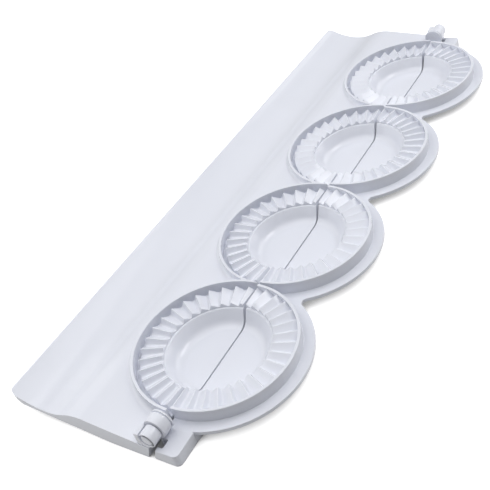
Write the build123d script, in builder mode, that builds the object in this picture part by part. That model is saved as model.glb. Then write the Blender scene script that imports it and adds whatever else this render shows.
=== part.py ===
"""Four-place hinged empanada press: a tray half and a handle half that fold together.

Both halves carry four half cups in line.  Each half cup is a half bowl inside a fan of saw-tooth
pleats, and the pleats of one half mesh into those of the other when the press is folded shut.
The origin is under the middle of the open press, on the table.  X runs along the hinge, the
handle reaches towards +Y, and +Z is up.
"""

import os
from math import asin, atan2, cos, radians, sin, tan

from build123d import *

os.makedirs("parts", exist_ok=True)

# Driving dimensions, in millimetres.  Heights are above the table with the press open and flat.
cup_count = 4
handle_half_length = 197.5  # middle of the press to the end of its handle half
cup_spacing = 0.4           # between the cup walls' bores in the handle half
rim_height = 15.0           # top of every cup wall
sheet = 2.2                 # moulded sheet of both halves
fold_gap = 1.0              # slit between the two halves along the hinge line

# Tray half
tray_wall = 1.6
flange_reach = 6.0          # flange beyond the cup wall
flange_height = 7.5
flange_notch_radius = 3.0   # fillet in the cusp between two scallops

# Handle half
wall_clearance = 0.4        # handle wall round the tray wall when shut
plate_wall = 1.4            # rim of the handle half's cup walls
handle_reach = 94.5         # hinge line to the tip of the handle
front_reach = 0.7           # hinge line to the handle plate's front edge
front_lean = 3.2            # the front edge leans back to the table

# Handle plate section, as depths below the rim at their reach from the hinge line
front_drop = 6.5
crest_reach = 44.0
crest_drop = 2.6
trough_reach = 69.0
trough_drop = 8.1
tip_angle = 31.5            # the tip turns up from the trough to this slope
foot_reach = 26.0           # the end skirts stand on the table up to here
wing_reach = 87.0           # from there the end skirt's lower edge turns up to the tip
wing_height = 5.8
tip_lip = 3.0               # solid edge along the tip
corner_radius = 5.0

# Bowls
bowl_radius = 28.4
bowl_floor = 2.0            # thickness and height of the flat floor
bowl_wall = 1.8
bowl_lean = 4.8             # the wall leans in this much from the brim to the floor
bowl_brim = 1.0             # ledge between the bowl and the pleats
brim_step = 0.2             # ledge below the valleys

# Pleats
pleat_count = 17            # over half a turn
pleat_lead = 6.3            # degrees from the hinge line to the first crest of the handle half
pleat_steep = 2.1           # degrees taken by the steep side
pleat_depth = 4.0           # at the tray's wall; it shrinks towards the cup's axis
plate_crest_drop = 1.2      # handle half, crest below the rim at the outer end
tray_crest_drop = 0.5       # tray half
pleat_fall = 0.5            # crest lower at the bowl than at the wall
pleat_floor = 2.0           # thickness under the valleys
pleat_land = 0.4            # clearance of the handle pleats inside the shut tray wall
channel_drop = 6.5          # floor of the channel between the handle pleats and their wall

# Hinge, with its lengths along X counted from the end of the pins, clips and lugs
hinge_inset = 0.3           # that end, inside the end of the handle half
hinge_drop = 1.0            # hinge axis below the rims
pin_radius = 3.2
pin_clearance = 0.08
pin_length = 6.7            # plain part inside the clip
collar_radius = 6.1
collar_length = 7.5
side_clearance = 0.4        # between collar and clip, and round the collar
hook_wall = 1.2             # the clip's hook round the pin
hook_angle = 48.0           # the hook's lip, above the level of the pin
clip_slide = 1.2            # the clip's cavity is this much longer than round
clip_jaw = 2.6
clip_jaw_rise = 1.5         # jaw above the rims
lug_length = 21.2
lug_front = 2.3             # hinge line to the lug's top front edge
lug_toe = 2.8               # the front leans out this much at the table
lug_back = 14.8
lug_corner = 3.0
lug_notch_end = 2.7         # notch in the front edge
lug_notch_width = 4.9
lug_notch_back = 5.0
web_length = 5.9
web_front = 0.9
web_gap = 0.8               # between the web and the flange

# Worked-out places
end_length = flange_reach + web_gap + web_length + pin_length + hinge_inset
row_half_length = handle_half_length - end_length + wall_clearance + cup_spacing / 2
cup_pitch = 2 * row_half_length / cup_count
plate_bore = (cup_pitch - cup_spacing) / 2
plate_wall_radius = plate_bore + plate_wall
tray_wall_radius = plate_bore - wall_clearance
flange_radius = tray_wall_radius + flange_reach
hinge_y = (flange_radius - handle_reach) / 2
hinge_height = rim_height - hinge_drop
hinge_end = handle_half_length - hinge_inset
collar_end = hinge_end - pin_length
collar_start = collar_end - collar_length
tray_bore = tray_wall_radius - tray_wall
plate_pleat_radius = tray_bore - pleat_land
channel_height = rim_height - channel_drop
half_gap = fold_gap / 2
tip_lean = radians(tip_angle)
tip_top_reach = handle_reach - sheet / 2 * (1 + sin(tip_lean))
tip_height = rim_height - trough_drop + (tip_top_reach - trough_reach) * tan(tip_lean / 2)
cup_centres = [(index - (cup_count - 1) / 2) * cup_pitch for index in range(cup_count)]
pleat_pitch = 180 / pleat_count
tray_under = rim_height - tray_crest_drop - pleat_depth - pleat_floor
plate_under = channel_height - pleat_floor
pleat_start = bowl_radius + bowl_brim
cavity_radius = pin_radius + pin_clearance
jaw_inside = cavity_radius + clip_slide
far = 4 * cup_pitch * cup_count


def level(height):
    """Horizontal plane at a height, with its origin on the hinge line."""
    return Plane((0, hinge_y, height))


def section(x):
    """Vertical plane across the hinge: local x is the reach, local y the height."""
    return Plane((x, hinge_y, 0), x_dir=(0, 1, 0), z_dir=(1, 0, 0))


def cup_section(centre):
    """Vertical plane through a cup's axis, along the hinge."""
    return Plane((centre, hinge_y, 0), x_dir=(1, 0, 0), z_dir=(0, -1, 0))


def cup_axis(centre):
    return Axis((centre, hinge_y, 0), (0, 0, 1))


def half_space(side):
    """Everything on one side of the fold gap: side is +1 for the handle, -1 for the tray."""
    with BuildPart() as space:
        with BuildSketch(level(-far / 2)):
            with Locations((0, side * (half_gap + far / 2))):
                Rectangle(far, far)
        extrude(amount=far)
    return space.part


def pleat_apex(crest_drop):
    """Height on the cup's axis where all crest and valley lines meet."""
    return rim_height - crest_drop - pleat_fall * tray_bore / (tray_bore - bowl_radius)


def brim_height(crest_drop):
    """Height of the ledge just below the inner ends of the valleys."""
    apex = pleat_apex(crest_drop)
    valley = rim_height - crest_drop - pleat_depth
    return apex + (valley - apex) * pleat_start / tray_bore - brim_step


def pleat(crest_drop, bottom):
    """One saw tooth with its crest along local X.  Its upper edges all meet on the cup's axis."""
    crest = rim_height - crest_drop
    valley = crest - pleat_depth
    apex = Vector(0, 0, pleat_apex(crest_drop))
    low = pleat_steep - pleat_pitch

    def spoke(radius, bearing, height=0):
        return Vector(radius, 0, height).rotate(Axis.Z, bearing)

    with BuildPart() as tooth:
        with BuildSketch(Plane.XY.offset(bottom)):
            with BuildLine():
                Polyline(spoke(pleat_start, low), spoke(far, low), spoke(far, pleat_steep),
                         spoke(pleat_start, pleat_steep), close=True)
            make_face()
        extrude(amount=rim_height)
        ridge = spoke(tray_bore, 0, crest) - apex
        for bearing, turn in ((low, 1), (pleat_steep, -1)):
            trough = spoke(tray_bore, bearing, valley) - apex
            split(bisect_by=Plane(apex, x_dir=ridge, z_dir=trough.cross(ridge) * turn), keep=Keep.BOTTOM)
    return tooth.part


def pleat_fan(side, crest_drop, outer_radius, bottom):
    """Half a turn of pleats between the bowl and an outer radius, on one side of the fold."""
    first = pleat_lead - pleat_pitch if side > 0 else -pleat_lead - pleat_steep - 180
    count = pleat_count + 2
    with BuildPart() as fan:
        with Locations((0, hinge_y, 0)):
            with PolarLocations(0, count, start_angle=first, angular_range=count * pleat_pitch):
                add(pleat(crest_drop, bottom))
        with BuildSketch(level(0)):
            Circle(outer_radius)
        extrude(amount=rim_height, mode=Mode.INTERSECT)
        add(half_space(side), mode=Mode.INTERSECT)
    return fan.part


def half_bowl(side, brim):
    """Half of a flat-floored bowl with a leaning wall and a level brim."""
    with BuildPart() as bowl:
        with BuildSketch(cup_section(0)):
            with BuildLine():
                Polyline((0, 0), (bowl_radius + bowl_wall, 0), (bowl_radius + bowl_wall, brim),
                         (bowl_radius, brim), (bowl_radius - bowl_lean, bowl_floor), (0, bowl_floor),
                         close=True)
            make_face()
        revolve(axis=cup_axis(0))
        add(half_space(side), mode=Mode.INTERSECT)
    return bowl.part


def plate_top(drop):
    """Upper curve of the handle plate: straight to a crest, down into a trough, up to the tip."""
    base = rim_height - drop
    front = Vector(front_reach, base - front_drop)
    crest = Vector(crest_reach, base - crest_drop)
    trough = Vector(trough_reach, base - trough_drop)
    swing = (trough - crest) / 2
    radius = (swing.X ** 2 + swing.Y ** 2) / (2 * abs(swing.Y))
    centre = crest - Vector(0, radius)
    lean = atan2(centre.Y - front.Y, centre.X - front.X) + asin(radius / (centre - front).length)
    shoulder = centre + Vector(-radius * sin(lean), radius * cos(lean))
    Line(front, shoulder)
    TangentArc(crest, shoulder, tangent=(-1, 0))
    TangentArc(crest, crest + swing, tangent=(1, 0))
    TangentArc(trough, crest + swing, tangent=(-1, 0))
    TangentArc(trough, (tip_top_reach, tip_height - drop), tangent=(1, 0))


def plate_outline():
    """Closed section through the solid handle plate."""
    tip_top = (tip_top_reach, tip_height)
    tip_under = (tip_top_reach + sheet * sin(tip_lean), tip_height - sheet * cos(tip_lean))
    with BuildSketch() as outline:
        with BuildLine():
            plate_top(0)
            TangentArc(tip_top, tip_under, tangent=(cos(tip_lean), sin(tip_lean)))
            Polyline(tip_under, (wing_reach, wing_height), (foot_reach, 0), (front_reach + front_lean, 0),
                     (front_reach, rim_height - front_drop))
        make_face()
    return outline.sketch


def hollow_outline():
    """Closed section through the room under the handle plate."""
    inside_front = front_reach + front_lean + sheet
    with BuildSketch() as outline:
        with BuildLine():
            plate_top(sheet)
            Polyline((tip_top_reach, tip_height - sheet), (tip_top_reach, -1), (front_reach, -1),
                     (front_reach, rim_height - front_drop - sheet))
        make_face()
        with Locations((inside_front, -1)):
            Rectangle(handle_reach - tip_lip - inside_front, rim_height + 1,
                      align=(Align.MIN, Align.MIN), mode=Mode.INTERSECT)
    return outline.sketch


def cup_circles(radius):
    """Plan of all cups as circles of one radius."""
    with BuildSketch() as circles:
        with Locations([(centre, 0) for centre in cup_centres]):
            Circle(radius)
    return circles.sketch


def lug_outline(side):
    """Plan of the block beside one hinge, at the table, with the notch in its front."""
    toe = lug_toe - lug_front
    start = hinge_end - lug_length
    notch_end = hinge_end - lug_notch_end
    notch_start = notch_end - lug_notch_width
    with BuildSketch() as plan:
        with BuildLine():
            Polyline((side * start, toe), (side * notch_start, toe), (side * notch_start, -lug_notch_back),
                     (side * notch_end, -lug_notch_back), (side * notch_end, toe),
                     (side * hinge_end, toe), (side * hinge_end, -lug_back), (side * start, -lug_back),
                     close=True)
        make_face()
        corner = (side * hinge_end, -lug_back)
        fillet(plan.vertices().sort_by_distance(corner)[0], lug_corner)
    return plan.sketch


def lug_hollow(side):
    """Plan of the room under one lug, behind its notch."""
    length = lug_length - sheet
    depth = lug_back - lug_notch_back - 2 * sheet
    with BuildSketch() as plan:
        with Locations((side * (hinge_end - sheet - length / 2), -(lug_back + lug_notch_back) / 2)):
            Rectangle(length, depth)
        with Locations((side * cup_centres[-1], 0)):
            Circle(flange_radius + sheet, mode=Mode.SUBTRACT)
    return plan.sketch


def lug_zone(side):
    """The room of one lug, outside the scalloped flange."""
    with BuildPart() as zone:
        with BuildSketch(level(0)):
            add(lug_outline(side))
            with Locations((side * cup_centres[-1], 0)):
                Circle(flange_radius, mode=Mode.SUBTRACT)
        extrude(amount=flange_height)
    return zone.part


# Tray half: flange with the cup walls and hinge lugs

with BuildPart() as deck:
    with BuildSketch(level(flange_height - sheet)) as scallops:
        add(cup_circles(flange_radius))
        fillet(scallops.vertices().filter_by(lambda v: abs(v.Y) > tray_wall), flange_notch_radius)
    extrude(amount=sheet)
    for side in (-1, 1):
        with BuildSketch(level(0)):
            add(lug_outline(side))
        extrude(amount=flange_height)
        with BuildSketch(level(0)):
            add(lug_hollow(side))
        extrude(amount=flange_height - sheet, mode=Mode.SUBTRACT)

with BuildPart() as tray:
    add(deck)
    for side in (-1, 1):
        add(lug_zone(side), mode=Mode.SUBTRACT)
    with BuildSketch(level(flange_height - sheet)):
        add(cup_circles(tray_wall_radius))
    extrude(amount=rim_height - flange_height + sheet)
    with BuildSketch(level(0)):
        add(cup_circles(tray_bore))
    extrude(amount=rim_height, mode=Mode.SUBTRACT)
    add(half_space(-1), mode=Mode.INTERSECT)
tray.part.label = "tray_flange"
export_step(tray.part, "parts/tray_flange.step")

# Tray half: the hinge lugs, and the pins, each with its collar and the web that carries it

lug_lean = Plane((0, hinge_y - lug_front, flange_height), x_dir=(1, 0, 0), z_dir=(0, flange_height, lug_toe))
for side, end in ((-1, "near"), (1, "far")):
    with BuildPart() as lug:
        add(deck)
        add(lug_zone(side), mode=Mode.INTERSECT)
        split(bisect_by=lug_lean, keep=Keep.BOTTOM)
    lug.part.label = f"{end}_hinge_lug"
    export_step(lug.part, f"parts/{end}_hinge_lug.step")

    with BuildPart() as pin:
        for start, stop, radius in ((collar_start, collar_end, collar_radius),
                                    (collar_end, hinge_end, pin_radius)):
            with BuildSketch(section(side * start)):
                with Locations((0, hinge_height)):
                    Circle(radius)
            extrude(amount=side * (stop - start))
        with BuildSketch(level(0)):
            with Locations((side * (collar_end - web_length / 2), -lug_front)):
                Rectangle(web_length, lug_front - web_front, align=(Align.CENTER, Align.MIN))
        extrude(amount=hinge_height - pin_radius)
        add(lug.part, mode=Mode.SUBTRACT)
    pin.part.label = f"{end}_hinge_pin"
    export_step(pin.part, f"parts/{end}_hinge_pin.step")

# Tray half: one cup insert for each place

tray_fan = pleat_fan(-1, tray_crest_drop, tray_bore, tray_under)
tray_bowl = half_bowl(-1, brim_height(tray_crest_drop))
for number, centre in enumerate(cup_centres, 1):
    with BuildPart() as tray_cup:
        with Locations((centre, 0, 0)):
            add(tray_fan)
            add(tray_bowl)
    tray_cup.part.label = f"tray_cup_{number}"
    export_step(tray_cup.part, f"parts/tray_cup_{number}.step")

# Handle half: plate with its cup walls

with BuildPart() as hollow:
    with BuildSketch(section(sheet - handle_half_length)):
        add(hollow_outline())
    extrude(amount=2 * (handle_half_length - sheet))

with BuildPart() as plate:
    with BuildSketch(section(-handle_half_length)):
        add(plate_outline())
    extrude(amount=2 * handle_half_length)
    add(hollow, mode=Mode.SUBTRACT)
    with BuildSketch(level(plate_under)):
        add(cup_circles(plate_wall_radius))
    extrude(amount=rim_height - plate_under)
    for height, radius in ((0, plate_pleat_radius), (channel_height, plate_bore)):
        with BuildSketch(level(height)):
            add(cup_circles(radius))
        extrude(amount=rim_height, mode=Mode.SUBTRACT)
    with BuildSketch(level(0)) as plan:
        with Locations((0, half_gap)):
            Rectangle(2 * handle_half_length, handle_reach - half_gap, align=(Align.CENTER, Align.MIN))
        fillet(plan.vertices().group_by(Axis.Y)[-1], corner_radius)
    extrude(amount=rim_height, mode=Mode.INTERSECT)
    for side in (-1, 1):
        with BuildSketch(section(side * (collar_start - side_clearance))):
            with Locations((0, hinge_height)):
                Circle(collar_radius + side_clearance)
        extrude(amount=side * (collar_end - collar_start + 2 * side_clearance), mode=Mode.SUBTRACT)
plate.part.label = "handle_plate"
export_step(plate.part, "parts/handle_plate.step")

# Handle half: one cup insert for each place

plate_fan = pleat_fan(1, plate_crest_drop, plate_pleat_radius, plate_under)
plate_bowl = half_bowl(1, brim_height(plate_crest_drop))
for number, centre in enumerate(cup_centres, 1):
    with BuildPart() as plate_cup:
        with Locations((centre, 0, 0)):
            add(plate_fan)
            add(plate_bowl)
    plate_cup.part.label = f"handle_cup_{number}"
    export_step(plate_cup.part, f"parts/handle_cup_{number}.step")

# Handle half: open-topped clips that snap over the pins

for side, end in ((-1, "near"), (1, "far")):
    with BuildPart() as clip:
        with BuildSketch(section(side * (collar_end + side_clearance))):
            with Locations((0, hinge_height)):
                Circle(cavity_radius + hook_wall)
            with Locations((0, rim_height - front_drop)):
                Rectangle(jaw_inside + clip_jaw, front_drop + clip_jaw_rise, align=(Align.MIN, Align.MIN))
            with Locations((clip_slide / 2, hinge_height)):
                SlotCenterToCenter(clip_slide, 2 * cavity_radius, mode=Mode.SUBTRACT)
            with BuildLine():
                lip = rim_height * tan(radians(90 - hook_angle))
                Polyline((0, hinge_height), (lip, hinge_height + rim_height), (2 * lip, hinge_height + rim_height),
                         (2 * lip, rim_height + clip_jaw_rise), (jaw_inside, rim_height + clip_jaw_rise),
                         (jaw_inside, hinge_height), close=True)
            make_face(mode=Mode.SUBTRACT)
        extrude(amount=side * (hinge_end - collar_end - side_clearance))
        add(plate, mode=Mode.SUBTRACT)
    clip.part.label = f"{end}_hinge_clip"
    export_step(clip.part, f"parts/{end}_hinge_clip.step")
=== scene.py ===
from math import asin, atan2, cos, degrees, pi, radians, sin, sqrt, tan

import bmesh
import bpy
from mathutils import Matrix, Vector


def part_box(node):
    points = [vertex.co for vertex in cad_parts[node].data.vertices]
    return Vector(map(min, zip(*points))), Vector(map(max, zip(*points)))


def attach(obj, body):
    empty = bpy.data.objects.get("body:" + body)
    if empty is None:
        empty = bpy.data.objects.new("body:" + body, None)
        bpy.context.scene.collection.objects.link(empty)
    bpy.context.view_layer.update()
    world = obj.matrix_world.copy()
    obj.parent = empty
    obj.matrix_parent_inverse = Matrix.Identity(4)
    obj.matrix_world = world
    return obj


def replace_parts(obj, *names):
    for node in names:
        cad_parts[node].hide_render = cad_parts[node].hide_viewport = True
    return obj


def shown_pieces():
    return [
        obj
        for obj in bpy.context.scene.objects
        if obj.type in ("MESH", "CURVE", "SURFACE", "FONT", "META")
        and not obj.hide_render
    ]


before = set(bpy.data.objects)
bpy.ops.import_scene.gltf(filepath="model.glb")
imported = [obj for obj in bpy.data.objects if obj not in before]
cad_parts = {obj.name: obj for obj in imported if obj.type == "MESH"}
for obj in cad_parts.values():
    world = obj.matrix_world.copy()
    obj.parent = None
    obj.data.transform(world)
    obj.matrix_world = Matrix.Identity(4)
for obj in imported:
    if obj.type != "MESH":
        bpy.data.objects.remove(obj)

# Four-place hinged empanada press.  Metres and the CAD frame throughout: X along the hinge, the
# handle towards +Y, the table at z = 0.  Angles and bearings are in degrees.
#
# The CAD nodes of the plate, flange, lugs and clips stay and get softened edges.  The half cups and
# the pins are built here as finer meshes of the same pieces.

MM = 0.001
TRAY, HANDLE = "tray_half", "handle_half"
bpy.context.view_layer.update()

# Places read from the frame
CUPS = 4
ENDS = (("near", -1), ("far", 1))
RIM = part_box("tray_flange")[1].z
cup_boxes = [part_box(f"tray_cup_{number}") for number in range(1, CUPS + 1)]
CENTRES = [(low.x + high.x) / 2 for low, high in cup_boxes]
PITCH = CENTRES[1] - CENTRES[0]
TRAY_BORE = (cup_boxes[0][1].x - cup_boxes[0][0].x) / 2
handle_cup_low, handle_cup_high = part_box("handle_cup_1")
PLATE_PLEAT_RADIUS = (handle_cup_high.x - handle_cup_low.x) / 2
HALF_GAP = 0.5 * MM             # of the slit between the two halves of a cup
HINGE_Y = handle_cup_low.y - HALF_GAP
HINGE_HEIGHT = RIM - 1.0 * MM

# Bowls
BOWL_RADIUS = 28.4 * MM
BOWL_FLOOR = 2.0 * MM
BOWL_WALL = 1.8 * MM
BOWL_LEAN = 4.8 * MM            # how much further in a wall stands at its foot
BOWL_BEND = 7.0 * MM            # inner radius between floor and wall
BEND_STEPS = 8
BRIM_RADIUS = BOWL_RADIUS + 1.0 * MM
BRIM_STEP = 0.2 * MM            # how far the brim lies below the pleats' valleys
BRIM_INSET = 0.02 * MM
SEAM_LEAN = 0.12                # slope of the handle cups' cut faces above the bowl floor

# Pleats
PLEATS = 17
PLEAT_PITCH = 180 / PLEATS
PLEAT_LEAD = 6.3                # bearing of the handle half's first crest
PLEAT_STEEP = 2.8               # bearing that a tooth's steep side takes up
PLEAT_DEPTH = 4.0 * MM
PLEAT_FALL = 0.5 * MM           # of a crest, from the wall to the bowl
PLEAT_STEPS = 4
TRAY_CREST, TRAY_UNDER = RIM - 0.5 * MM, 8.5 * MM
PLATE_CREST, PLATE_UNDER = RIM - 1.2 * MM, 6.5 * MM
CREST_ROUND = 0.30 * MM
VALLEY_ROUND = 1.3 * MM
EDGE_ROUND = 0.30 * MM
EDGE_MIDDLE = 0.3               # where a rounded edge's middle point lies, as a share of the rounding
BRIM_MIDDLE = 0.2               # the same at the brim, where the edge is blunter

# Bearings of the profiles across one tooth, from its crest and closer where the slope turns
TOOTH_BEARINGS = (
    -7.55, -7.2, -6.8, -6.3, -5.5, -3.7, -1.8, -0.9, -0.5, -0.25, -0.05,
    0.12, 0.3, 0.6, 1.1, 1.5, 1.8, 2.05, 2.3, 2.55, 2.8)

# Handle plate's top, as (reach from the hinge line, height)
FRONT = Vector((0.7 * MM, RIM - 6.5 * MM))
CREST = Vector((44.0 * MM, RIM - 2.6 * MM))
TROUGH = Vector((69.0 * MM, RIM - 8.1 * MM))

# Blends between the plate and its cup walls
PLATE_WALL_RADIUS = 45.8 * MM
FOOT = 2.6 * MM
FOOT_STEPS = 6
FOOT_BEARINGS = 181
FOOT_ROOT = 0.5 * MM            # how deep a blend sits in the wall and in the plate
FOOT_SET_BACK = 0.02 * MM       # of a blend's ends behind FRONT
FOOT_SHARP = 60

# Hinge pins, as radii and as reaches from the collar's inner face
pin_low, pin_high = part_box("far_hinge_pin")
PIN_START, PIN_STOP = pin_low.x, pin_high.x - pin_low.x
PIN_RADIUS = 3.2 * MM
PIN_BEARINGS = 96
COLLAR_RADIUS = (pin_high.y - pin_low.y) / 2
COLLAR_STOP = 7.5 * MM
COLLAR_EDGE = 0.2 * MM
GROOVE_RADIUS = 5.4 * MM
GROOVE_START, GROOVE_STOP = 1.1 * MM, 1.7 * MM

# Rounded ends of collar and pin, as millimetres back and in from the sharp corner
COLLAR_ROUND = ((0.4, 0), (0.1, 0.12), (0, 0.4))
PIN_ROUND = ((0.9, 0), (0.5, 0.1), (0.2, 0.3), (0.05, 0.6), (0, 1.0))

# Web under a collar: from its inner face, from the hinge line and up from the table
WEB_LOW, WEB_HIGH = Vector((1.8, -2.3, 0)) * MM, Vector((7.4, -0.9, 10.8)) * MM
WEB_EDGE = 0.25 * MM
WEB_EDGE_STEPS = 3

# Clip hooks, as radii round the hinge axis and angles up from its tray side
HOOK_INNER, HOOK_OUTER = PIN_RADIUS + 0.2 * MM, 4.7 * MM
HOOK_MIDDLE, HOOK_HALF = (HOOK_OUTER + HOOK_INNER) / 2, (HOOK_OUTER - HOOK_INNER) / 2
HOOK_START, HOOK_STOP = -40, 102
HOOK_STEPS, TIP_STEPS = 24, 6
TIP_TURN = 87                   # short of 90, so that the tip keeps a face
HOOK_EDGE = 0.25 * MM
HOOK_EDGE_SHARE = 0.8           # of the hook's half thickness, the most that its edges take
HOOK_EDGE_STEPS = 3

# Lug joins, as bearings below the hinge line
JOIN_START, JOIN_STOP = -3.2, -16.2
JOIN_STEPS = 12
JOIN_REACH = 0.8 * MM
JOIN_DROP = 0.03 * MM

# CAD nodes whose edges are softened, with the width of the rounding
SOFT_EDGES = {
    "tray_flange": 0.45 * MM, "handle_plate": 0.5 * MM, "near_hinge_lug": 0.5 * MM,
    "far_hinge_lug": 0.5 * MM, "near_hinge_clip": 0.3 * MM, "far_hinge_clip": 0.3 * MM}
SOFT_STEPS = 3
FLAT_ANGLE, SOFT_ANGLE = 0.5, 35        # edges below the first go, and those above the second are rounded
EVEN_WEIGHT = 50

# How near two points have to be to count as one
WELD_REACH = 1e-6
SEAM_REACH = 1e-7
CUT_REACH = 1e-8

# Plastic
SHADES = (0.745, 0.765, 0.835, 1), (0.770, 0.790, 0.860, 1)
ROUGHNESSES = 0.13, 0.19
WORN_SHADE, WORN_ROUGHNESS = (0.80, 0.82, 0.88, 1), 0.34
WEAR_REACH = 0.6 * MM
WEAR_SAMPLES = 4
WEAR_FULL, WEAR_NONE = 0.80, 0.99       # cosines between the rounded and the true normal
MOTTLE = dict(scale=14, detail=4)
MARKS = dict(scale=60, detail=6, roughness=0.65)
GRAIN = dict(scale=420, detail=3)
GRAIN_STRENGTH, GRAIN_DEPTH = 0.05, 0.2 * MM

# Floor and world
FLOOR_REACH = 3.0
FLOOR_DROP = 0.2 * MM
FLOOR_SHADE, FLOOR_ROUGHNESS = 0.50, 0.9
# Painted contact shadow: within this reach of the object, ambient occlusion dims the floor's white glow
PAINTED_SHADOW_REACH = 14 * MM
PAINTED_SHADOW_SAMPLES = 16
# Painted contact shadow: the share of open sky at which the glow is weakest and strongest, and the glow
# there
OPENNESS_LOW, OPENNESS_HIGH = 0.2, 0.50         # where the glow is weakest and strongest
GLOW_LOW, GLOW_HIGH = 0.05, 0.82
WORLD_STRENGTH = 0.20

# Lamps, aimed at the origin under the middle of the press: name, place, width, depth, power in watts
LAMPS = (
    ("right_high", (0.49, -0.49, 0.98), 0.7, 0.4, 3.7),
    ("right_low", (0.99, -0.46, 0.51), 0.9, 0.9, 4.0),
    ("back_high", (-0.35, 0.59, 0.98), 1.2, 1.2, 3.0),
    ("back_low", (-0.19, 1.07, 0.51), 1.2, 1.2, 4.0),
    ("left_high", (-0.49, -0.49, 0.98), 0.9, 0.9, 1.0),
    ("top", (-0.05, 0.05, 0.8), 0.8, 0.8, 2.5))

# Camera, fitted to the photograph: its turns in degrees, sensor and lens in millimetres
CAMERA_PLACE = Vector((-330.1, -238.8, 291.6)) * MM
CAMERA_AZIMUTH, CAMERA_ELEVATION, CAMERA_ROLL = -48.033, 37.597, -18.584
CAMERA_SENSOR, CAMERA_LENS = 36, 57.71
CAMERA_CLIP = 0.01, 50


# Meshes

def add_object(name, bm, body, sharp=40):
    """Object from a bmesh, smooth but for edges sharper than an angle, riding on a body."""
    mesh = bpy.data.meshes.new(name)
    bm.to_mesh(mesh)
    bm.free()
    mesh.shade_smooth()
    mesh.set_sharp_from_angle(angle=radians(sharp))
    obj = bpy.data.objects.new(name, mesh)
    bpy.context.scene.collection.objects.link(obj)
    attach(obj, body)
    return obj


def swept(loops, ring=True):
    """Closed bmesh through closed loops of points: a ring of them, or a row with its two ends closed."""
    bm = bmesh.new()
    rows = [[bm.verts.new(point) for point in loop] for loop in loops]
    following = rows[1:] + rows[:1] if ring else rows[1:]
    for first, second in zip(rows, following):
        for k in range(len(first)):
            n = (k + 1) % len(first)
            bm.faces.new((first[k], second[k], second[n], first[n]))
    if ring:
        bmesh.ops.remove_doubles(bm, verts=bm.verts, dist=SEAM_REACH)
    else:
        for row in (rows[0], rows[-1]):
            bm.faces.new(row)
    bmesh.ops.recalc_face_normals(bm, faces=bm.faces)
    return bm


def cut(bm, point, normal):
    """Takes away what lies beyond a plane and closes the cut."""
    parts = bm.verts[:] + bm.edges[:] + bm.faces[:]
    bmesh.ops.bisect_plane(
        bm, geom=parts, plane_co=point, plane_no=normal, clear_outer=True, dist=CUT_REACH)
    rim = [edge for edge in bm.edges if edge.is_boundary]
    bmesh.ops.triangle_fill(bm, edges=rim, use_beauty=True, use_dissolve=False)
    bmesh.ops.recalc_face_normals(bm, faces=bm.faces)


def arc(centre, radius, start, stop, steps):
    """Points (across, up) of an arc between two angles."""
    angles = [radians(start + (stop - start) * k / steps) for k in range(steps + 1)]
    return [(centre[0] + radius * cos(a), centre[1] + radius * sin(a)) for a in angles]


# Cups

def bend(s, left, right, radius):
    """Height at s of two slopes that meet at the origin, with the corner rounded."""
    a, b = atan2(left, 1), atan2(right, 1)
    ridge = 1 if a > b else -1
    reach = radius * tan(abs(a - b) / 2)
    if s <= -reach * cos(a):
        return left * s
    if s >= reach * cos(b):
        return right * s
    centre_s = -reach * cos(a) + ridge * radius * sin(a)
    centre_z = -reach * sin(a) - ridge * radius * cos(a)
    return centre_z + ridge * sqrt(max(radius ** 2 - (s - centre_s) ** 2, 0))


def pleat_apex(crest):
    """Height on the cup's axis where its crest and valley lines meet."""
    return crest - PLEAT_FALL * TRAY_BORE / (TRAY_BORE - BOWL_RADIUS)


def pleat_height(radius, local, crest):
    """Height of a pleat at a radius and at a bearing from its crest."""
    share = radius / TRAY_BORE
    top = pleat_apex(crest) + (crest - pleat_apex(crest)) * share
    depth = PLEAT_DEPTH * share
    gentle = radius * radians(PLEAT_PITCH - PLEAT_STEEP)
    steep = radius * radians(PLEAT_STEEP)
    rise, fall = depth / gentle, -depth / steep
    s = radius * radians(local)
    if s < -gentle / 2:
        return top - depth + bend(s + gentle, fall, rise, VALLEY_ROUND * share)
    if s > steep / 2:
        return top - depth + bend(s - steep, fall, rise, VALLEY_ROUND * share)
    return top + bend(s, rise, fall, CREST_ROUND)


def cup_profile(local, crest, outer, under):
    """Closed profile (radius, height) of a cup at one bearing within a tooth."""
    def pleat(radius, drop=0.0):
        return (radius, pleat_height(radius, local, crest) - drop)

    apex = pleat_apex(crest)
    brim = apex + (crest - PLEAT_DEPTH - apex) * BRIM_RADIUS / TRAY_BORE - BRIM_STEP
    wall_foot = BOWL_RADIUS - BOWL_LEAN
    slope = atan2(brim - BOWL_FLOOR, BOWL_LEAN)
    bend_stop = degrees(slope) - 90
    bend_start = wall_foot - BOWL_BEND * tan(slope / 2)
    bend_centre = (bend_start, BOWL_FLOOR + BOWL_BEND)
    inner, end = BRIM_RADIUS + EDGE_ROUND, outer - EDGE_ROUND

    points = [(0, BOWL_FLOOR), (bend_start / 2, BOWL_FLOOR)]
    points += arc(bend_centre, BOWL_BEND, -90, bend_stop, BEND_STEPS)
    points.append((BOWL_RADIUS - EDGE_ROUND / tan(slope), brim - EDGE_ROUND))
    points.append((BOWL_RADIUS + BRIM_MIDDLE * EDGE_ROUND, brim - BRIM_MIDDLE * EDGE_ROUND))
    points += [(BOWL_RADIUS + EDGE_ROUND, brim), (BRIM_RADIUS - BRIM_INSET, brim)]
    points.append(pleat(BRIM_RADIUS, EDGE_ROUND))
    points.append(pleat(BRIM_RADIUS + EDGE_MIDDLE * EDGE_ROUND, EDGE_MIDDLE * EDGE_ROUND))
    points += [pleat(inner + (end - inner) * k / PLEAT_STEPS) for k in range(PLEAT_STEPS + 1)]
    points.append(pleat(outer - EDGE_MIDDLE * EDGE_ROUND, EDGE_MIDDLE * EDGE_ROUND))
    points += [pleat(outer, EDGE_ROUND), (outer, under), (BOWL_RADIUS + BOWL_WALL, under)]
    points += arc(bend_centre, BOWL_BEND + BOWL_FLOOR, bend_stop, -90, BEND_STEPS)
    points.append((0, 0))
    return points


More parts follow.
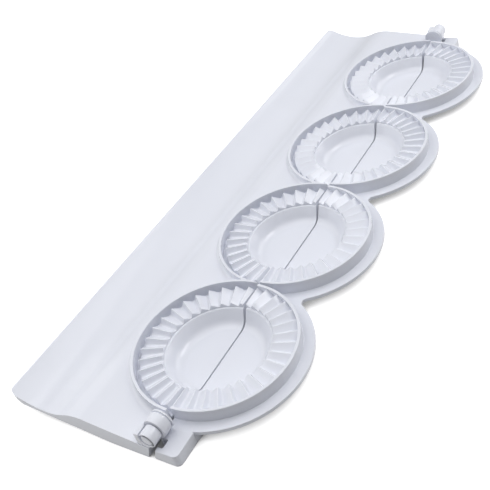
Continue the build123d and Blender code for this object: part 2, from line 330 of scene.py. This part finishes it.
def make_cups(side, crest, outer, under):
    """The four half cups of one half: side is +1 for the handle, -1 for the tray.

    The pleats of cups 3 and 4 are the mirror image of those of cups 1 and 2.
    """
    body, stem = (HANDLE, "handle_cup") if side > 0 else (TRAY, "tray_cup")
    first = PLEAT_LEAD if side > 0 else -PLEAT_LEAD - PLEAT_STEEP
    loops = []
    for tooth in range(2 * PLEATS):
        for local in TOOTH_BEARINGS:
            bearing = radians(first + tooth * PLEAT_PITCH + local)
            profile = cup_profile(local, crest, outer, under)
            loops.append([(r * cos(bearing), r * sin(bearing), z) for r, z in profile])
    bm = swept(loops)
    cut(bm, (0, side * HALF_GAP, 0), (0, -side, 0))
    if side > 0:
        cut(bm, (0, HALF_GAP, BOWL_FLOOR), (0, -1, SEAM_LEAN))
    for number, centre in enumerate(CENTRES, 1):
        copy = bm.copy()
        hand = 1 if number <= CUPS / 2 else -1
        copy.transform(Matrix.Translation((centre, HINGE_Y, 0)) @ Matrix.Diagonal((hand, 1, 1, 1)))
        bmesh.ops.recalc_face_normals(copy, faces=copy.faces)
        node = f"{stem}_{number}"
        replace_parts(add_object(f"{node}_shaped", copy, body), node)
    bm.free()


# Handle plate

def plate_height(reach):
    """Height of the handle plate's top: straight to a crest, down into a trough."""
    swing = (TROUGH - CREST) / 2
    radius = swing.length_squared / (2 * abs(swing.y))
    centre = CREST - Vector((0, radius))
    offset = centre - FRONT
    lean = atan2(offset.y, offset.x) + asin(radius / offset.length)
    if reach < CREST.x - radius * sin(lean):
        return FRONT.y + (max(reach, FRONT.x) - FRONT.x) * tan(lean)
    if reach < CREST.x + swing.x:
        return centre.y + sqrt(radius ** 2 - (reach - CREST.x) ** 2)
    return TROUGH.y + radius - sqrt(radius ** 2 - (reach - TROUGH.x) ** 2)


def foot_profile(bearing):
    """Closed profile (radius, height) of the blend between cup wall and plate, bearing in radians."""
    def top(radius):
        return plate_height(radius * sin(bearing))

    wall, end = PLATE_WALL_RADIUS, PLATE_WALL_RADIUS + FOOT
    start = Vector((wall, top(wall) + FOOT))
    corner = Vector((wall, top(wall)))
    stop = Vector((end, top(end)))
    points = []
    for k in range(FOOT_STEPS + 1):
        t = k / FOOT_STEPS
        points.append(tuple(start * (1 - t) ** 2 + corner * 2 * t * (1 - t) + stop * t ** 2))
    points.append((end, top(end) - FOOT_ROOT))
    points.append((wall - FOOT_ROOT, top(wall) - FOOT_ROOT))
    points.append((wall - FOOT_ROOT, top(wall) + FOOT))
    return points


def make_feet():
    """Blends at the foot of the handle half's cup walls."""
    for number, centre in enumerate(CENTRES, 1):
        loops = []
        for k in range(FOOT_BEARINGS + 1):
            bearing = pi * k / FOOT_BEARINGS
            loops.append([(centre + r * cos(bearing), HINGE_Y + r * sin(bearing), z)
                          for r, z in foot_profile(bearing)])
        bm = swept(loops, ring=False)
        cut(bm, (0, HINGE_Y + FRONT.x + FOOT_SET_BACK, 0), (0, -1, 0))
        if number > 1:
            cut(bm, (centre - PITCH / 2, 0, 0), (-1, 0, 0))
        if number < CUPS:
            cut(bm, (centre + PITCH / 2, 0, 0), (1, 0, 0))
        add_object(f"plate_foot_{number}", bm, HANDLE, sharp=FOOT_SHARP)


# Hinge pins

def rounded_corner(reach, radius, steps):
    """Points of a half section where a corner is rounded off by steps back and in."""
    return [(reach - back * MM, radius - inward * MM) for back, inward in steps]


def pin_profile():
    """Half section (reach, radius) of a pin: a thin ring, a groove, the collar and the pin itself."""
    shoulder = COLLAR_RADIUS - COLLAR_EDGE
    points = [(0, 0), (0, shoulder), (COLLAR_EDGE, COLLAR_RADIUS)]
    points += [(GROOVE_START - COLLAR_EDGE, COLLAR_RADIUS), (GROOVE_START, shoulder)]
    points += [(GROOVE_START, GROOVE_RADIUS), (GROOVE_STOP, GROOVE_RADIUS)]
    points += [(GROOVE_STOP, shoulder), (GROOVE_STOP + COLLAR_EDGE, COLLAR_RADIUS)]
    points += rounded_corner(COLLAR_STOP, COLLAR_RADIUS, COLLAR_ROUND)
    points.append((COLLAR_STOP, PIN_RADIUS))
    points += rounded_corner(PIN_STOP, PIN_RADIUS, PIN_ROUND)
    points.append((PIN_STOP, 0))
    return points


def add_web(bm, side):
    """Adds the upright web that carries a pin's collar, with its edges rounded."""
    size = WEB_HIGH - WEB_LOW
    middle = (WEB_LOW + WEB_HIGH) / 2
    place = Matrix.Translation((side * (PIN_START + middle.x), HINGE_Y + middle.y, middle.z))
    web = bmesh.ops.create_cube(bm, size=1, matrix=place @ Matrix.Diagonal((*size, 1)))
    edges = {edge for vert in web["verts"] for edge in vert.link_edges}
    bmesh.ops.bevel(
        bm, geom=list(edges), offset=WEB_EDGE, segments=WEB_EDGE_STEPS, profile=0.5, affect="EDGES")


def make_pins():
    """The two pins, turned round the hinge axis, each with its collar and web."""
    for end, side in ENDS:
        loops = []
        for k in range(PIN_BEARINGS):
            bearing = 2 * pi * k / PIN_BEARINGS
            across, up = cos(bearing), sin(bearing)
            loops.append([(side * (PIN_START + x), HINGE_Y + r * across, HINGE_HEIGHT + r * up)
                          for x, r in pin_profile()])
        bm = swept(loops)
        add_web(bm, side)
        bmesh.ops.recalc_face_normals(bm, faces=bm.faces)
        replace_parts(add_object(f"{end}_hinge_pin_turned", bm, TRAY), f"{end}_hinge_pin")


# Clips

def hook_stations():
    """Angles along a hook with the share of its thickness there: full, then rounded off at the tip."""
    tip = degrees(HOOK_HALF / HOOK_MIDDLE)
    stop = HOOK_STOP - tip
    stations = [(HOOK_START + (stop - HOOK_START) * k / HOOK_STEPS, 1) for k in range(HOOK_STEPS + 1)]
    for k in range(1, TIP_STEPS + 1):
        turn = radians(TIP_TURN) * k / TIP_STEPS
        stations.append((stop + tip * sin(turn), cos(turn)))
    return stations


def make_hooks():
    """The hook of each clip, carried on over the pin."""
    for end, side in ENDS:
        start, stop = sorted(abs(corner.x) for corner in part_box(f"{end}_hinge_clip"))
        loops = []
        for angle, share in hook_stations():
            reach = HOOK_HALF * share
            edge = min(HOOK_EDGE, HOOK_EDGE_SHARE * reach)
            top = HOOK_MIDDLE + reach - edge
            section = [(start, HOOK_MIDDLE - reach), (stop, HOOK_MIDDLE - reach)]
            section += arc((stop - edge, top), edge, 0, 90, HOOK_EDGE_STEPS)
            section += arc((start + edge, top), edge, 90, 180, HOOK_EDGE_STEPS)
            across, up = cos(radians(angle)), sin(radians(angle))
            loops.append([(side * x, HINGE_Y - r * across, HINGE_HEIGHT + r * up) for x, r in section])
        add_object(f"{end}_clip_hook", swept(loops, ring=False), HANDLE)


# Lugs

def make_joins():
    """Fills the groove that the rounded edges leave where each lug meets the flange."""
    radius = HINGE_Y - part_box("tray_flange")[0].y
    inner, outer = radius - JOIN_REACH, radius + JOIN_REACH
    for (end, side), centre in zip(ENDS, (CENTRES[0], CENTRES[-1])):
        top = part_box(f"{end}_hinge_lug")[1].z - JOIN_DROP
        section = ((inner, top), (outer, top), (outer, top - JOIN_REACH), (inner, top - JOIN_REACH))
        loops = []
        for k in range(JOIN_STEPS + 1):
            bearing = radians(JOIN_START + (JOIN_STOP - JOIN_START) * k / JOIN_STEPS)
            across, back = side * cos(bearing), sin(bearing)
            loops.append([(centre + r * across, HINGE_Y + r * back, z) for r, z in section])
        add_object(f"{end}_lug_join", swept(loops, ring=False), TRAY)


# CAD nodes that stay

def soften(node, width):
    """Rounds a CAD node's edges with modifiers, which leave its own mesh as it is."""
    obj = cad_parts[node]
    mesh = obj.data
    for name in ("custom_normal", "sharp_edge"):
        if name in mesh.attributes:
            mesh.attributes.remove(mesh.attributes[name])
    mesh.shade_smooth()
    weld = obj.modifiers.new("weld", "WELD")
    weld.merge_threshold = WELD_REACH
    flat = obj.modifiers.new("flat", "DECIMATE")
    flat.decimate_type = "DISSOLVE"
    flat.angle_limit = radians(FLAT_ANGLE)
    round_off = obj.modifiers.new("round", "BEVEL")
    round_off.width = width
    round_off.segments = SOFT_STEPS
    round_off.limit_method = "ANGLE"
    round_off.angle_limit = radians(SOFT_ANGLE)
    round_off.miter_outer = "MITER_ARC"
    even = obj.modifiers.new("even", "WEIGHTED_NORMAL")
    even.mode = "FACE_AREA"
    even.keep_sharp = False
    even.weight = EVEN_WEIGHT


# Materials

def grey(value):
    """A neutral colour."""
    return (value, value, value, 1)


def noise(tree, scale, detail, roughness=0.5):
    """Noise in the object's own coordinates."""
    place = tree.nodes.new("ShaderNodeTexCoord")
    node = tree.nodes.new("ShaderNodeTexNoise")
    node.inputs["Scale"].default_value = scale
    node.inputs["Detail"].default_value = detail
    node.inputs["Roughness"].default_value = roughness
    tree.links.new(place.outputs["Object"], node.inputs["Vector"])
    return node.outputs["Fac"]


def ramp(tree, source, low, high, start=0.3, stop=0.7):
    """Colour from low to high, as the source goes from start to stop."""
    node = tree.nodes.new("ShaderNodeValToRGB")
    node.color_ramp.elements[0].position = start
    node.color_ramp.elements[0].color = low
    node.color_ramp.elements[1].position = stop
    node.color_ramp.elements[1].color = high
    tree.links.new(source, node.inputs["Fac"])
    return node.outputs["Color"]


def mixed_colour(tree, share, first, second):
    """The first colour, given over to the second by a share from 0 to 1."""
    node = tree.nodes.new("ShaderNodeMix")
    node.data_type = "RGBA"
    tree.links.new(share, node.inputs["Factor"])
    tree.links.new(first, node.inputs["A"])
    node.inputs["B"].default_value = second
    return node.outputs["Result"]


def edge_wear(tree):
    """Wear from 0 on smooth stretches to 1 on edges, where a rounded normal turns from the true one."""
    shape = tree.nodes.new("ShaderNodeNewGeometry")
    rounded = tree.nodes.new("ShaderNodeBevel")
    rounded.samples = WEAR_SAMPLES
    rounded.inputs["Radius"].default_value = WEAR_REACH
    turn = tree.nodes.new("ShaderNodeVectorMath")
    turn.operation = "DOT_PRODUCT"
    tree.links.new(shape.outputs["Normal"], turn.inputs[0])
    tree.links.new(rounded.outputs["Normal"], turn.inputs[1])
    return ramp(tree, turn.outputs["Value"], grey(1), grey(0), WEAR_FULL, WEAR_NONE)


def gloss_plastic():
    """Glossy injection-moulded white plastic: faint mottling, fine handling marks and worn edges."""
    material = bpy.data.materials.new("gloss_white_plastic")
    material.use_nodes = True
    tree = material.node_tree
    shader = tree.nodes["Principled BSDF"]
    wear = edge_wear(tree)
    colour = mixed_colour(tree, wear, ramp(tree, noise(tree, **MOTTLE), *SHADES), WORN_SHADE)
    marks = ramp(tree, noise(tree, **MARKS), *map(grey, ROUGHNESSES))
    roughness = mixed_colour(tree, wear, marks, grey(WORN_ROUGHNESS))
    bump = tree.nodes.new("ShaderNodeBump")
    bump.inputs["Strength"].default_value = GRAIN_STRENGTH
    bump.inputs["Distance"].default_value = GRAIN_DEPTH
    tree.links.new(noise(tree, **GRAIN), bump.inputs["Height"])
    tree.links.new(colour, shader.inputs["Base Color"])
    tree.links.new(roughness, shader.inputs["Roughness"])
    tree.links.new(bump.outputs["Normal"], shader.inputs["Normal"])
    shader.inputs["Specular IOR Level"].default_value = 0.5
    shader.inputs["IOR"].default_value = 1.5
    return material


def mixed_shader(tree, share, first, second):
    """The first shader, given over to the second by a share from 0 to 1."""
    mix = tree.nodes.new("ShaderNodeMixShader")
    tree.links.new(share, mix.inputs[0])
    tree.links.new(first, mix.inputs[1])
    tree.links.new(second, mix.inputs[2])
    return mix.outputs[0]


def seen_rays(tree):
    """1 for camera, glossy and transmission rays, and 0 for the others."""
    path = tree.nodes.new("ShaderNodeLightPath")
    total = path.outputs["Is Camera Ray"]
    for name in ("Is Glossy Ray", "Is Transmission Ray"):
        larger = tree.nodes.new("ShaderNodeMath")
        larger.operation = "MAXIMUM"
        tree.links.new(total, larger.inputs[0])
        tree.links.new(path.outputs[name], larger.inputs[1])
        total = larger.outputs[0]
    return total


def floor_white_painted_shadow():
    """Matt floor with a white glow for the rays that see it, dimmed where the object comes close as a
    painted contact shadow.
    """
    material = bpy.data.materials.new("floor_white_painted_shadow")
    material.use_nodes = True
    tree = material.node_tree
    shader = tree.nodes["Principled BSDF"]
    shader.inputs["Base Color"].default_value = grey(FLOOR_SHADE)
    shader.inputs["Roughness"].default_value = FLOOR_ROUGHNESS
    shader.inputs["Specular IOR Level"].default_value = 0.0
    glow = tree.nodes.new("ShaderNodeEmission")
    glow.inputs["Color"].default_value = grey(1)
    # Painted contact shadow: ambient occlusion dims the glow near the object
    painted_shadow_openness = tree.nodes.new("ShaderNodeAmbientOcclusion")
    painted_shadow_openness.samples = PAINTED_SHADOW_SAMPLES
    painted_shadow_openness.inputs["Distance"].default_value = PAINTED_SHADOW_REACH
    strength = tree.nodes.new("ShaderNodeMapRange")
    strength.inputs["From Min"].default_value = OPENNESS_LOW
    strength.inputs["From Max"].default_value = OPENNESS_HIGH
    strength.inputs["To Min"].default_value = GLOW_LOW
    strength.inputs["To Max"].default_value = GLOW_HIGH
    tree.links.new(painted_shadow_openness.outputs["AO"], strength.inputs["Value"])
    tree.links.new(strength.outputs["Result"], glow.inputs["Strength"])
    both = tree.nodes.new("ShaderNodeAddShader")
    tree.links.new(shader.outputs[0], both.inputs[0])
    tree.links.new(glow.outputs[0], both.inputs[1])
    surface = mixed_shader(tree, seen_rays(tree), shader.outputs[0], both.outputs[0])
    tree.links.new(surface, tree.nodes["Material Output"].inputs["Surface"])
    return material


def paint():
    """Gives every piece of the object the plastic."""
    material = gloss_plastic()
    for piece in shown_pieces():
        piece.data.materials.clear()
        piece.data.materials.append(material)


# Studio

def make_lamp(name, place, width, depth, power):
    """Rectangular lamp aimed at the origin."""
    data = bpy.data.lights.new(name, "AREA")
    data.shape = "RECTANGLE"
    data.size = width
    data.size_y = depth
    data.energy = power
    obj = bpy.data.objects.new(name, data)
    bpy.context.scene.collection.objects.link(obj)
    obj.location = place
    obj.rotation_mode = "QUATERNION"
    obj.rotation_quaternion = (-Vector(place)).to_track_quat("-Z", "Y")


def make_world():
    """Dim even light, seen as white by the camera."""
    world = bpy.data.worlds.new("studio")
    bpy.context.scene.world = world
    world.use_nodes = True
    tree = world.node_tree
    plain = tree.nodes["Background"]
    plain.inputs["Color"].default_value = grey(1)
    plain.inputs["Strength"].default_value = WORLD_STRENGTH
    white = tree.nodes.new("ShaderNodeBackground")
    white.inputs["Color"].default_value = grey(1)
    white.inputs["Strength"].default_value = 1.0
    path = tree.nodes.new("ShaderNodeLightPath")
    surface = mixed_shader(tree, path.outputs["Is Camera Ray"], plain.outputs[0], white.outputs[0])
    tree.links.new(surface, tree.nodes["World Output"].inputs["Surface"])


def make_floor():
    """Flat floor just under the object's feet."""
    bm = bmesh.new()
    bmesh.ops.create_grid(bm, x_segments=1, y_segments=1, size=FLOOR_REACH)
    mesh = bpy.data.meshes.new("floor")
    bm.to_mesh(mesh)
    bm.free()
    mesh.materials.append(floor_white_painted_shadow())
    floor = bpy.data.objects.new("floor", mesh)
    floor.location.z = -FLOOR_DROP
    bpy.context.scene.collection.objects.link(floor)


def make_camera():
    """Camera at the fitted place, turned so that the hinge line runs up the picture."""
    data = bpy.data.cameras.new("camera")
    data.sensor_width = CAMERA_SENSOR
    data.lens = CAMERA_LENS
    data.clip_start, data.clip_end = CAMERA_CLIP
    camera = bpy.data.objects.new("camera", data)
    bpy.context.scene.collection.objects.link(camera)
    azimuth, elevation, roll = map(radians, (CAMERA_AZIMUTH, CAMERA_ELEVATION, CAMERA_ROLL))
    back = Vector((sin(azimuth) * cos(elevation), -cos(azimuth) * cos(elevation), sin(elevation)))
    right = (-back).cross(Vector((0, 0, 1))).normalized()
    up = right.cross(-back)
    side = right * cos(roll) + up * sin(roll)
    top = up * cos(roll) - right * sin(roll)
    turned = Matrix((side, top, back)).transposed().to_4x4()
    camera.matrix_world = Matrix.Translation(CAMERA_PLACE) @ turned
    bpy.context.scene.camera = camera


make_cups(-1, TRAY_CREST, TRAY_BORE, TRAY_UNDER)
make_cups(1, PLATE_CREST, PLATE_PLEAT_RADIUS, PLATE_UNDER)
make_feet()
make_pins()
make_hooks()
make_joins()
for node, width in SOFT_EDGES.items():
    soften(node, width)
paint()

make_camera()
make_floor()
make_world()
for row in LAMPS:
    make_lamp(*row)
bpy.context.scene.view_settings.view_transform = "Standard"
